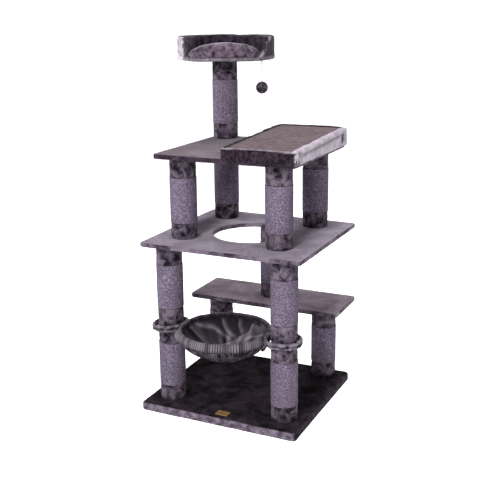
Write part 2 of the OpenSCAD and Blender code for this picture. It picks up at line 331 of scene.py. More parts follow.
class Graph:
    """A short way to write a material's nodes."""

    def __init__(self, name):
        self.mat = bpy.data.materials.new(name)
        self.mat.use_nodes = True
        self.tree = self.mat.node_tree
        self.bsdf = next(n for n in self.tree.nodes if n.type == "BSDF_PRINCIPLED")
        self.where = self.node("ShaderNodeTexCoord").outputs["Object"]

    def node(self, kind, inputs=None, **props):
        n = self.tree.nodes.new(kind)
        for k, v in props.items():
            setattr(n, k, v)
        for k, v in (inputs or {}).items():
            if isinstance(v, bpy.types.NodeSocket):
                self.tree.links.new(v, n.inputs[k])
            else:
                n.inputs[k].default_value = v
        return n

    def stretched(self, scale):
        return self.node("ShaderNodeMapping", {"Vector": self.where, "Scale": scale}).outputs[0]

    def noise(self, per_metre, detail=3.0, roughness=0.5, where=None, distortion=0.0):
        n = self.node(
            "ShaderNodeTexNoise",
            {
                "Vector": where or self.where, "Scale": per_metre, "Detail": detail,
                "Roughness": roughness, "Distortion": distortion,
            },
        )
        return n.outputs[0]

    def math(self, operation, a, b=0.0):
        return self.node("ShaderNodeMath", {0: a, 1: b}, operation=operation).outputs[0]

    def ramp(self, value, stops):
        n = self.node("ShaderNodeValToRGB", {"Fac": value})
        r = n.color_ramp
        while len(r.elements) < len(stops):
            r.elements.new(0.5)
        for e, (at, colour) in zip(r.elements, stops):
            e.position = at
            e.color = colour
        return n.outputs[0]

    def level(self, value, low, high):
        """value, taken from the range low..high to 0..1."""
        n = self.node(
            "ShaderNodeMapRange", {"Value": value, "From Min": low, "From Max": high}, clamp=True
        )
        return n.outputs[0]

    def mix(self, fac, a, b, kind="MIX"):
        n = self.node("ShaderNodeMix", data_type="RGBA", blend_type=kind)
        for i, v in ((0, fac), (6, a), (7, b)):
            if isinstance(v, bpy.types.NodeSocket):
                self.tree.links.new(v, n.inputs[i])
            else:
                n.inputs[i].default_value = v
        return n.outputs[2]

    def facing(self):
        """The direction a face looks in, as its "X", "Y" and "Z"."""
        normal = self.node("ShaderNodeNewGeometry").outputs["Normal"]
        return self.node("ShaderNodeSeparateXYZ", {0: normal}).outputs

    def close(self, colour=None, height=None, strength=0.5, distance=0.001, **values):
        link = self.tree.links.new
        if colour is not None:
            if isinstance(colour, bpy.types.NodeSocket):
                link(colour, self.bsdf.inputs["Base Color"])
            else:
                self.bsdf.inputs["Base Color"].default_value = colour
        if height is not None:
            b = self.node(
                "ShaderNodeBump", {"Height": height, "Strength": strength, "Distance": distance}
            )
            link(b.outputs[0], self.bsdf.inputs["Normal"])
        for k, v in values.items():
            name = k.replace("_", " ").title()
            s = self.bsdf.inputs[{"Ior": "IOR", "Specular": "Specular IOR Level"}.get(name, name)]
            if isinstance(v, bpy.types.NodeSocket):
                link(v, s)
            else:
                s.default_value = v
        return self.mat


def plush(name, dark, light, patch, pile=0.5, front=None, right=None, sheen=0.12, fine=520.0, lit_colour=None):
    """Short fur fabric: patches where the pile lies differently, over a fine speckle of tips.
    patch is how many patches there are in a metre, and pile how strong the speckle is.
    front and right are painted light and shade by facing: the dark and light colours of upright faces,
    right for those that look to +X, while tops keep dark and light. The last argument is the painted
    highlight colour, used where the mesh's own painted light value is 1."""
    g = Graph(name)
    patches = g.level(g.noise(patch, 5.0, 0.62, distortion=0.4), 0.38, 0.62)
    colour = g.mix(patches, lin(dark), lin(light))
    # Painted light and shade by facing: upright faces take the front colours, +X faces the right ones and
    # tops the plush's own, so these are lit and shaded copies of one fabric.
    if front:
        broad = g.level(g.noise(patch * 2.1, 5.0, 0.65), 0.36, 0.64)
        upright = g.mix(broad, lin(front[0]), lin(front[1]))
        if right:
            flank = g.mix(broad, lin(right[0]), lin(right[1]))
            upright = g.mix(g.level(g.facing()["X"], 0.35, 0.75), upright, flank)
        colour = g.mix(g.level(g.facing()["Z"], 0.65, 0.93), upright, colour)
    # Painted light and highlights from the mesh's own painted light attribute, towards the lit colour.
    if lit_colour:
        painted_light = g.node("ShaderNodeAttribute", attribute_name="painted_light").outputs["Fac"]
        colour = g.mix(painted_light, colour, lin(lit_colour))
    hair = g.noise(fine, 3.0, 0.7)
    clumps = g.noise(165.0, 4.0, 0.65)
    speck = g.ramp(hair, [(0.3, (0.42, 0.42, 0.42, 1)), (0.7, (1.55, 1.55, 1.55, 1))])
    tuft = g.ramp(clumps, [(0.32, (0.5, 0.5, 0.5, 1)), (0.68, (1.45, 1.45, 1.45, 1))])
    colour = g.mix(pile, colour, speck, "MULTIPLY")
    colour = g.mix(pile, colour, tuft, "MULTIPLY")
    height = g.math("ADD", g.math("MULTIPLY", hair, 0.5), clumps)
    values = {"sheen_weight": sheen, "sheen_roughness": 0.4, "roughness": 0.95, "specular": 0.12}
    return g.close(colour, height, 0.9, 0.0022, **values)


def rope_material():
    """Sisal: fibres run along the rope, and its twist shows as bright strands between dark gaps."""
    g = Graph("sisal")
    fibre = g.noise(420.0, 5.0, 0.75, g.stretched((1, 1, 3)))
    strand = g.noise(175.0, 3.0, 0.6, g.stretched((1, 1, 1.3)), distortion=0.6)
    patch = g.level(g.noise(14.0, 4.0, 0.6), 0.3, 0.7)
    colour = g.ramp(
        strand, [(0.3, lin((54, 46, 58))), (0.5, lin((108, 98, 114))), (0.7, lin((166, 156, 174)))]
    )
    speck = g.ramp(fibre, [(0.3, (0.5, 0.5, 0.5, 1)), (0.7, (1.5, 1.5, 1.5, 1))])
    colour = g.mix(0.7, colour, speck, "MULTIPLY")
    colour = g.mix(g.math("MULTIPLY", patch, 0.55), colour, lin((88, 79, 93)))
    height = g.math("ADD", strand, g.math("MULTIPLY", fibre, 0.5))
    return g.close(colour, height, 1.0, 0.0022, roughness=0.9, specular=0.2)


def wood_material():
    g = Graph("board_wood")
    grain = g.noise(30.0, 6.0, 0.6, g.stretched((1, 12, 12)))
    colour = g.ramp(grain, [(0.3, lin((168, 128, 84))), (0.7, lin((206, 170, 122)))])
    return g.close(colour, grain, 0.3, 0.0005, roughness=0.6)


def card_material():
    g = Graph("cardboard")
    grain = g.noise(120.0, 4.0, 0.6, g.stretched((1, 1, 5)))
    colour = g.ramp(grain, [(0.3, lin((150, 120, 86))), (0.7, lin((178, 148, 112)))])
    return g.close(colour, grain, 0.3, 0.0004, roughness=0.85)


def metal_material(name, tone, rough):
    g = Graph(name)
    marks = g.noise(240.0, 4.0, 0.6)
    colour = g.mix(g.level(marks, 0.3, 0.7), lin([c * 0.8 for c in tone]), lin(tone))
    return g.close(colour, marks, 0.15, 0.0003, metallic=1.0, roughness=rough)


def elastic_material():
    g = Graph("toy_elastic")
    braid = g.noise(900.0, 2.0, 0.5, g.stretched((1, 1, 0.5)))
    colour = g.ramp(braid, [(0.35, lin((196, 192, 200))), (0.65, lin((236, 233, 238)))])
    return g.close(colour, braid, 0.5, 0.0003, roughness=0.7)


# Plushes with front and right colours have painted light and shade by facing: their tops, fronts and +X
# sides are lit and shaded copies of one fabric. The last colour given is the painted highlight colour.
MATS = {
    "cuff_plush": plush("cuff_plush", (28, 21, 29), (108, 97, 110), patch=26.0),
    "base_plush": plush(
        "base_plush", (18, 14, 18), (60, 51, 59), patch=16.0, sheen=0.03, pile=0.75,
        front=((66, 56, 68), (126, 116, 129)), right=((20, 15, 21), (66, 57, 68)),
    ),
    "shelf_plush": plush(
        "shelf_plush", (126, 113, 124), (152, 139, 150), patch=9.0, pile=0.4,
        front=((48, 39, 49), (104, 93, 106)), right=((60, 51, 62), (128, 118, 131)),
    ),
    "platform_plush": plush(
        "platform_plush", (120, 109, 122), (150, 140, 154), patch=7.0, pile=0.4,
        front=((34, 26, 35), (118, 108, 121)), right=((30, 23, 31), (112, 102, 115)),
    ),
    "upper_plush": plush(
        "upper_plush", (90, 78, 87), (108, 95, 104), patch=9.0, pile=0.35,
        front=((30, 22, 31), (66, 56, 67)), right=((62, 53, 64), (112, 102, 115)),
    ),
    "lounger_plush": plush(
        "lounger_plush", (30, 22, 30), (72, 61, 72), patch=30.0, lit_colour=(174, 166, 176),
        front=((12, 7, 12), (58, 47, 58)),
    ),
    "bed_plush": plush(
        "bed_plush", (26, 19, 28), (62, 52, 64), patch=17.0, lit_colour=(186, 177, 188),
        front=((20, 14, 22), (66, 56, 68)),
    ),
    "bed_pad_plush": plush("bed_pad_plush", (40, 33, 41), (74, 65, 75), patch=16.0),
    # The bolster is the bed's plush with its top painted lit and its front in painted shade.
    "bolster_plush": plush(
        "bolster_plush", (106, 94, 105), (140, 128, 139), patch=18.0,
        front=((44, 34, 44), (110, 98, 110)),
    ),
    "mat_pile": plush("mat_pile", (76, 61, 67), (96, 80, 86), patch=26.0, fine=300.0, pile=0.8),
    "hammock_velour": plush(
        "hammock_velour", (14, 10, 14), (32, 25, 33), patch=20.0, pile=0.35, fine=700.0,
        lit_colour=(150, 141, 153),
    ),
    "pompom_yarn": plush("pompom_yarn", (48, 40, 49), (122, 112, 124), patch=90.0, pile=0.5, fine=600.0),
    "sisal_rope": rope_material(),
    "board_wood": wood_material(),
    "post_tube": card_material(),
    "rod_steel": metal_material("rod_steel", (90, 90, 96), 0.45),
    "stud_steel": metal_material("stud_steel", (178, 178, 184), 0.35),
    "wire_steel": metal_material("wire_steel", (190, 190, 196), 0.3),
    "label_metal": metal_material("label_metal", (236, 200, 140), 0.5),
    "toy_elastic": elastic_material(),
}

for part in frame["record"]["subparts"]:
    slots = NODES[part["node"]].data.materials
    slots.clear()
    slots.append(MATS[part["material_slot"]])

# ---------------------------------------------------------------- toy
lo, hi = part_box("toy_cord")
toy_x, toy_y = (lo.x + hi.x) / 2, (lo.y + hi.y) / 2
curve = bpy.data.curves.new("toy_cord_line", "CURVE")
curve.dimensions = "3D"
curve.bevel_depth = 0.001
curve.bevel_resolution = 3
curve.use_fill_caps = True
spline = curve.splines.new("POLY")
spline.points.add(14)
for i, p in enumerate(spline.points):
    p.co = (toy_x, toy_y, hi.z + (lo.z - hi.z) * i / 14, 1)
cord = bpy.data.objects.new("toy_cord_line", curve)
bpy.context.scene.collection.objects.link(cord)
curve.materials.append(MATS["toy_elastic"])
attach(cord, "toy")
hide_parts("toy_cord")
CORD_TOP, CORD_END = hi.z, lo.z


def pompom():
    """A ball of yarn ends: a lumpy core with some 1500 short tapering tufts. It is a little smaller
    and higher than the CAD ball, so that no yarn is further than 60 mm from the cord's end."""
    lo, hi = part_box("toy_pompom")
    mid, r = (np.array(lo) + np.array(hi)) / 2 + (0, 0, 0.0014), 0.0292
    bm = bmesh.new()
    bmesh.ops.create_icosphere(bm, subdivisions=5, radius=1)
    verts = np.array([v.co for v in bm.verts])
    faces = [[v.index for v in f.verts] for f in bm.faces]
    bm.free()
    core = 0.84 + 0.05 * noise(verts, 0.35, 3) + 0.04 * noise(verts, 0.12, 4)
    all_verts = [mid + r * v * c for v, c in zip(verts, core)]
    count = 1500
    rng = np.random.default_rng(7)
    for i in range(count):
        z = 1 - 2 * (i + 0.5) / count
        a = i * 2.399963
        out = np.array([math.cos(a) * math.sqrt(1 - z * z), math.sin(a) * math.sqrt(1 - z * z), z])
        out += 0.06 * rng.standard_normal(3)
        out /= np.linalg.norm(out)
        side = np.cross(out, [0.31, 0.22, 0.92])
        side /= np.linalg.norm(side)
        other = np.cross(out, side)
        lean = 0.16 * (rng.standard_normal() * side + rng.standard_normal() * other)
        length = rng.uniform(0.92, 1.0)
        base = len(all_verts)
        for t, w in ((0.74, 0.032), (0.88, 0.036), (length, 0.012)):
            c = out * t + lean * (t - 0.74)
            for k in range(4):
                b = TAU * k / 4
                all_verts.append(mid + r * (c + w * (math.cos(b) * side + math.sin(b) * other)))
        for s in (0, 4):
            for k in range(4):
                l = (k + 1) % 4
                faces.append([base + s + k, base + s + l, base + s + 4 + l, base + s + 4 + k])
        faces.append([base + 3, base + 2, base + 1, base])
        faces.append([base + 8, base + 9, base + 10, base + 11])
    o = from_data("toy_pompom_yarn", all_verts, faces)
    return finish_piece(o, MATS["pompom_yarn"], "pompom_yarn", "toy", "toy_pompom")


def knots():
    """The cord's small knots, below the link and on the pompom."""
    all_verts, all_faces = [], []
    for z0, r in ((CORD_TOP - 0.0022, 0.0017), (CORD_TOP - 0.0048, 0.0015), (CORD_END + 0.0030, 0.0019)):
        rings = []
        for i in range(20):
            a = TAU * i / 20
            tilt = 0.35 * math.sin(a + z0 * 3000)
            c = np.array([toy_x + r * math.cos(a), toy_y + r * math.sin(a), z0 + r * tilt])
            out = np.array([math.cos(a), math.sin(a), 0])
            rings.append([c + 0.0011 * (u * out + v * np.array([0, 0, 1])) for u, v in circle(0, 0, 1, 8)])
        v, f = tube_rings(rings, closed=True)
        all_faces += [[i + len(all_verts) for i in face] for face in f]
        all_verts += v
    o = from_data("toy_knots", all_verts, all_faces)
    return finish_piece(o, MATS["toy_elastic"], "toy_elastic", "toy")


ball = pompom()
knot = knots()


# ---------------------------------------------------------------- posts
def axis_of(post):
    lo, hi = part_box("tube_" + post)
    return (lo.x + hi.x) / 2, (lo.y + hi.y) / 2, lo.z, hi.z


def rope(post, number):
    """The sisal rope, wound as one helix from the lower cuff to the upper one."""
    x, y, _, _ = axis_of(post)
    lo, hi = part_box("sisal_" + post)
    r_in, r_out, z0, z1 = half_width("tube_" + post), (hi.x - lo.x) / 2, lo.z, hi.z
    segs, rows_per_turn, rope_d, groove = 72, 5, 0.006, 0.0024
    turns = round((z1 - z0) / rope_d)
    pitch = (z1 - z0) / turns
    rows = (turns + 1) * rows_per_turn + 1
    j, k = np.meshgrid(np.arange(rows), np.arange(segs + 1), indexing="ij")
    raw = z0 + pitch * ((j - rows_per_turn) / rows_per_turn + k / segs)
    z = np.clip(raw, z0, z1)
    phase = ((z - z0) / pitch - k / segs) % 1.0
    bulge = np.sqrt(np.clip(1 - (2 * phase - 1) ** 2, 0, 1))
    a = TAU * k / segs + number
    rough = noise(np.stack([(k % segs) * 0.9, z * 900, 0 * z + number * 7], -1).reshape(-1, 3), 1.0, 5)
    r = r_out - groove + groove * bulge + 0.00035 * rough.reshape(z.shape)
    verts = np.stack([x + r * np.cos(a), y + r * np.sin(a), z], -1)
    bm = bmesh.new()
    grid = [[bm.verts.new(verts[i, c]) for c in range(segs + 1)] for i in range(rows)]
    for i in range(rows - 1):
        for c in range(segs):
            if raw[i + 1, c] <= z0 and raw[i + 1, c + 1] <= z0:
                continue
            if raw[i, c] >= z1 and raw[i, c + 1] >= z1:
                continue
            bm.faces.new((grid[i][c], grid[i][c + 1], grid[i + 1][c + 1], grid[i + 1][c]))
    bmesh.ops.delete(bm, geom=[v for v in bm.verts if not v.link_faces], context="VERTS")
    bmesh.ops.remove_doubles(bm, verts=bm.verts, dist=0.0002)
    edges = [e for e in bm.edges if e.is_boundary]
    new = bmesh.ops.extrude_edge_only(bm, edges=edges)["geom"]
    for v in [g for g in new if isinstance(g, bmesh.types.BMVert)]:
        d = Vector((v.co.x - x, v.co.y - y, 0)).normalized() * r_in
        v.co = Vector((x + d.x, y + d.y, z0 if v.co.z < (z0 + z1) / 2 else z1))
    o = from_bmesh("sisal_rope_" + post, bm)
    return finish_piece(o, MATS["sisal_rope"], "sisal_rope", "stand", "sisal_" + post)


def cuff(post, number):
    """The plush cuffs at both ends of a post: soft rolled ends, a wavy edge and an uneven pile."""
    x, y, z0, z1 = axis_of(post)
    # The pile closes over the joint where the hammock's bars are clamped.
    z0 -= 0.004 if post.endswith("_mid") else 0
    z1 += 0.002 if post.endswith("_lower") else 0
    sisal_lo, sisal_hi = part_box("sisal_" + post)
    r_in, r_out = half_width("tube_" + post) + 0.0003, half_width("cuffs_" + post)
    segs, rows = 96, 22
    verts, faces = [], []
    for a0, a1, sisal_z in ((z0, sisal_lo.z, sisal_lo.z), (sisal_hi.z, z1, sisal_hi.z)):
        outline = []
        for i in range(rows + 1):
            t = i / rows
            edge = min(t, 1 - t) * (a1 - a0)
            dip = 0.0028 * max(0.0, 1 - edge / 0.006) ** 2
            outline.append((r_out - dip, a0 + t * (a1 - a0)))
        rings = []
        for r, z in [(r_in, a0)] + outline + [(r_in, a1)]:
            rings.append([(px, py, z, r) for px, py in circle(x, y, r, segs)])
        flat = np.array(rings).reshape(-1, 4)
        outer = flat[:, 3] > r_in + 0.0005
        fluff = 0.0011 * noise(flat[:, :3], 0.02, 11 + number) + 0.0007 * noise(flat[:, :3], 0.007, 12)
        d = flat[:, :2] - (x, y)
        d /= np.linalg.norm(d, axis=1)[:, None]
        flat[:, :2] += d * (fluff * outer)[:, None]
        near = np.clip(1 - np.abs(flat[:, 2] - sisal_z) / 0.02, 0, 1)
        flat[:, 2] += near * 0.0012 * noise(flat[:, :3], 0.03, 21 + number)
        p = flat[:, :3].reshape(len(rings), segs, 3)
        v, f = tube_rings([list(map(np.array, ring)) for ring in p], closed=True)
        faces += [[i + len(verts) for i in face] for face in f]
        verts += v
    o = from_data("plush_cuffs_" + post, verts, faces)
    outward(o.data)
    return finish_piece(o, MATS["cuff_plush"], "cuff_plush", "stand", "cuffs_" + post)


for number, post in enumerate(POSTS):
    rope(post, number)
    cuff(post, number)


# ---------------------------------------------------------------- covered boards
def rounded_outline(lo, hi, r, n=8):
    """A rectangle with round corners in plan, n steps to a corner."""
    x0, x1, y0, y1 = lo.x + r, hi.x - r, lo.y + r, hi.y - r
    pts = []
    for cx, cy, a0 in ((x1, y1, 0), (x0, y1, 90), (x0, y0, 180), (x1, y0, 270)):
        for i in range(n + 1):
            a = math.radians(a0 + 90 * i / n)
            pts.append((cx + r * math.cos(a), cy + r * math.sin(a)))
    return pts


def prism(bm, pts, z0, z1):
    """Adds an upright prism over the outline pts to bm."""
    low = [bm.verts.new((x, y, z0)) for x, y in pts]
    high = [bm.verts.new((x, y, z1)) for x, y in pts]
    bm.faces.new(low[::-1])
    bm.faces.new(high)
    for i in range(len(pts)):
        j = (i + 1) % len(pts)
        bm.faces.new((low[i], low[j], high[j], high[i]))


def covered_board(node, name, slot, mat=None, hole=None, soft=4, corner=0.016):
    """A board in its plush: round edges, and a surface that rises and dips a little."""
    lo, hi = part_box(node)
    pile = 0.001
    lo = lo - Vector((pile, pile, pile if lo.z > 0.01 else 0))
    hi = hi + Vector((pile, pile, pile))
    bm = bmesh.new()
    prism(bm, rounded_outline(lo, hi, corner), lo.z, hi.z)
    o = from_bmesh(name, bm)
    if hole:
        bm = bmesh.new()
        prism(bm, circle(*hole, 96), lo.z - 0.02, hi.z + 0.02)
        cutter = from_bmesh("cutter", bm)
        m = o.modifiers.new("hole", "BOOLEAN")
        m.operation = "DIFFERENCE"
        m.object = cutter
        apply_modifiers(o)
        bpy.data.meshes.remove(cutter.data)
    remesh(o, 0.004)
    relax(o.data, soft)
    ruffle(o.data, (0.09, 0.0005, 31), (0.025, 0.0004, 32), (0.009, 0.0004, 33))
    co = coords(o.data)
    co[:, 2] = np.maximum(co[:, 2], 0.0)
    set_coords(o.data, co)
    return finish_piece(o, MATS[mat or slot], slot, "stand", node)


covered_board("base_cover", "base_plush", "base_plush", soft=7, corner=0.015)
covered_board("lower_shelf_cover", "shelf_plush", "shelf_plush")
HOLE_R = 0.176
openings = frame["record"]["physics"]["openings"]
climb_lo, climb_hi = next(o["box_m"] for o in openings if o["name"] == "climbing_hole")
climb = ((climb_lo[0] + climb_hi[0]) / 2, (climb_lo[1] + climb_hi[1]) / 2, HOLE_R)
covered_board("main_platform_cover", "main_platform_plush", "platform_plush", hole=climb)
covered_board("upper_platform_cover", "upper_platform_plush", "platform_plush", mat="upper_plush")

# ---------------------------------------------------------------- lounger
cover_lo, cover_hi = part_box("lounger_cover")
front_top = max(
    v.co.z for v in NODES["lounger_cover"].data.vertices if v.co.y < cover_lo.y + 0.03
)


def lounger_details(me):
    """The crease under the roll on its right, the dimple near its back corner, the lap in its front and
    the painted light: painted light on the right and along the front's upper edge, with painted shade in
    the crease and the dimple."""
    co, up = coords(me), normals(me)
    x, y = co[:, 0], co[:, 1]
    share = (y - cover_lo.y) / (cover_hi.y - cover_lo.y)
    under = front_top + (cover_hi.z - front_top) * share - co[:, 2]
    right = step(up[:, 0], 0.25, 0.7) * step(x, cover_hi.x - 0.03, cover_hi.x - 0.012)
    crease = 0.6 * np.exp(-(((under - 0.022) / 0.006) ** 2)) * right
    crease *= step(y, cover_lo.y + 0.03, cover_lo.y + 0.09)
    crease *= 1 - step(y, cover_hi.y - 0.12, cover_hi.y - 0.10)
    dent_at = cover_hi.y - 0.082
    dent = np.exp(-(((y - dent_at) / 0.016) ** 4)) * right
    dent *= step(under, 0.014, 0.024) * (1 - step(under, 0.050, 0.064))
    front = step(-up[:, 1], 0.3, 0.7) * step(-y, -cover_lo.y - 0.02, -cover_lo.y - 0.006)
    lap_at = cover_lo.x + 0.44 * (cover_hi.x - cover_lo.x)
    lap = step(x, lap_at - 0.004, lap_at) * np.exp(-np.maximum(x - lap_at, 0) / 0.05) * front
    move = np.zeros_like(co)
    move[:, 0] = -0.0035 * crease - 0.010 * dent
    move[:, 1] = -0.0030 * lap
    set_coords(me, co + move)
    wisp = 0.5 + 0.9 * noise(co, 0.016, 45) + 0.5 * noise(co, 0.05, 46)
    roll = step(x, cover_hi.x - 0.030, cover_hi.x - 0.020) * step(up[:, 2], 0.2, 0.6)
    roll *= 1 - step(under, 0.012, 0.03)
    lip = step(-y, -cover_lo.y - 0.020, -cover_lo.y - 0.012) * step(up[:, 2], 0.3, 0.8)
    lip = np.minimum(lip, 1 - step(under, 0.004, 0.010))
    corner = 1 - step(y, cover_lo.y + 0.005, cover_lo.y + 0.075)
    # Painted light on the right side and the roll's top, painted shade in the crease and the dimple,
    # broken into darker patches near the front corner. The front's upper edge gets painted light too.
    light = np.maximum(right, roll) * (1 - 0.85 * crease - 0.95 * dent) * (0.72 + 0.28 * wisp)
    light *= 1 - 0.9 * corner * step(noise(co, 0.009, 47), -0.25, 0.25) * (1 - roll)
    set_painted_light(me, np.maximum(light, 0.62 * lip * (0.6 + 0.4 * wisp)))


lounger = joined_copy("lounger_padding", ["lounger_cover", "lounger_frame"])
lounger_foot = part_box("lounger_frame")[0].z + 0.004
remesh(lounger, 0.004)
relax(lounger.data, 4)
puff(lounger, 4, 0.004, hold=lambda co: co[:, 2] < lounger_foot)
relax(lounger.data, 2)
ruffle(lounger.data, (0.07, 0.0014, 41), (0.022, 0.0008, 42), (0.008, 0.0003, 43))
lounger_details(lounger.data)
finish_piece(lounger, MATS["lounger_plush"], "lounger_plush", "stand", "lounger_cover")

loop_mat = joined_copy("lounger_mat_pile", ["lounger_mat"])
remesh(loop_mat, 0.005)
relax(loop_mat.data, 3)
ruffle(loop_mat.data, (0.12, 0.0008, 51), (0.03, 0.0005, 52), (0.01, 0.0003, 53))
finish_piece(loop_mat, MATS["mat_pile"], "mat_pile", "stand", "lounger_mat")

# ---------------------------------------------------------------- top bed
# Degrees: how far the entrance is turned from the front, and how wide it is.
BED_TURN, ENTRANCE = 23, 88
bed_lo, bed_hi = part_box("bed_walls")
bed_mid, bed_r = (bed_lo + bed_hi) / 2, half_width("bed_walls")


def bed_floor_skin(me):
    """Adds the plush over the bed's board, out to the wall's outer face."""
    bm = bmesh.new()
    bm.from_mesh(me)
    outline = circle(bed_mid.x, bed_mid.y, bed_r + 0.001, 128)
    prism(bm, outline, bed_lo.z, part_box("bed_board")[1].z + 0.0025)
    bm.to_mesh(me)
    bm.free()


def bed_wall_folds(me):
    """The slanting fold at each end of the wall, and painted light: a lit strip on the wall's left with
    painted shade in the crease at its end, painted highlights on the fold's ridge, and a lighter band low
    on the outer face.
    """
    co, up = coords(me), normals(me)
    x, y = co[:, 0] - bed_mid.x, co[:, 1] - bed_mid.y
    turn = np.degrees(np.arctan2(y, x))
    high = np.clip((co[:, 2] - bed_lo.z) / (bed_hi.z - bed_lo.z), 0, 1)
    outer = step((x * up[:, 0] + y * up[:, 1]) / np.hypot(x, y), 0.3, 0.7)
    wisp = 0.5 + 0.9 * noise(co, 0.014, 65) + 0.4 * noise(co, 0.04, 66)
    whole_turn = (turn + 360) % 360 + 3 * noise(co, 0.012, 67)
    strip = outer * step(whole_turn, 180, 196) * (1 - step(whole_turn, 234, 242))
    crease = np.exp(-(((whole_turn - 238 - 4 * high) / 3.0) ** 2)) * outer
    slant = -24 + 25 * high
    ridge = np.exp(-(((turn - slant) / 3.2) ** 2)) * outer
    groove = np.exp(-(((turn - slant + 7) / 3.5) ** 2)) * outer
    move = 0.0035 * ridge - 0.0035 * groove - 0.004 * crease
    set_coords(me, co + up * move[:, None])
    # Painted light: the lit strip on the left with painted shade in its crease, painted highlights on the
    # fold's ridge, and a lighter band low on the outer face.
    light = 0.95 * strip * (1 - 0.8 * crease) + 0.55 * ridge * step(wisp, 0.1, 0.7)
    light = np.maximum(light, 0.35 * outer * (1 - step(high, 0.05, 0.25)))
    set_painted_light(me, light * (0.6 + 0.4 * wisp))


walls = joined_copy("bed_wall_padding", ["bed_walls"])
bed_floor_skin(walls.data)
remesh(walls, 0.004)
relax(walls.data, 5)
puff(walls, 4, 0.004, hold=lambda co: co[:, 2] < bed_lo.z + 0.022)
relax(walls.data, 2)
ruffle(walls.data, (0.08, 0.0016, 61), (0.025, 0.0009, 62), (0.008, 0.0003, 63))
bed_wall_folds(walls.data)
finish_piece(walls, MATS["bed_plush"], "bed_plush", "stand", "bed_walls")


def bolster_shape():
    """The padded roll in the bed's entrance, highest in its middle. Its section is given in shares
    of the wall's thickness, from the inside out, and of the roll's height."""
    inside = half_width("bed_pad")
    lo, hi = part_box("bed_bolster")
    z0 = lo.z + 0.0005
    section = (
        (0.03, 0), (0.98, 0), (1.02, 0.14), (1.03, 0.42), (0.97, 0.60), (0.84, 0.80), (0.62, 0.95),
        (0.40, 1.0), (0.18, 0.95), (0.04, 0.80), (0.0, 0.55), (0.0, 0.2),
    )
    rings = []
    for i in range(41):
        t = i / 20 - 1
        a = math.radians(-90 + BED_TURN + t * (ENTRANCE / 2 + 2.5))
        h = hi.z - z0 - 0.003 - 0.030 * abs(t) ** 2.2 - 0.008 * max(0.0, -t)
        ring = []
        for u, v in section:
            r = inside + (bed_r - inside) * u
            ring.append((bed_mid.x + r * math.cos(a), bed_mid.y + r * math.sin(a), z0 + h * v))
        rings.append(ring)
    verts, faces = tube_rings(rings)
    o = from_data("bed_bolster_padding", verts, faces)
    outward(o.data)
    return o


bolster = bolster_shape()
bolster_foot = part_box("bed_bolster")[0].z + 0.004
remesh(bolster, 0.004)
relax(bolster.data, 4)
puff(bolster, 4, 0.004, hold=lambda co: co[:, 2] < bolster_foot)
ruffle(bolster.data, (0.06, 0.0014, 71), (0.02, 0.0009, 72), (0.008, 0.0003, 73))
finish_piece(bolster, MATS["bolster_plush"], "bed_plush", "stand", "bed_bolster")

pad = joined_copy("bed_floor_pad", ["bed_pad"])
remesh(pad, 0.005)
relax(pad.data, 5)
puff(pad, 3, 0.006)
ruffle(pad.data, (0.07, 0.0012, 81), (0.02, 0.0007, 82))
finish_piece(pad, MATS["bed_pad_plush"], "bed_plush", "stand", "bed_pad")

# ---------------------------------------------------------------- hammock
HOOP = np.array([-0.005, -0.230, 0.4055])
HOOP_R, RING_R, RING_X = 0.199, 0.077, 0.280
# Heights of the bowl at its edge and how far it goes down from there, inside and underneath.
INSIDE_TOP, INSIDE_DEPTH = 0.394, 0.120
UNDER_TOP, UNDER_DEPTH = 0.3765, 0.110
RING_SAG = {"left": math.radians(6), "right": math.radians(1)}
FOLD_TURN = math.radians(27)


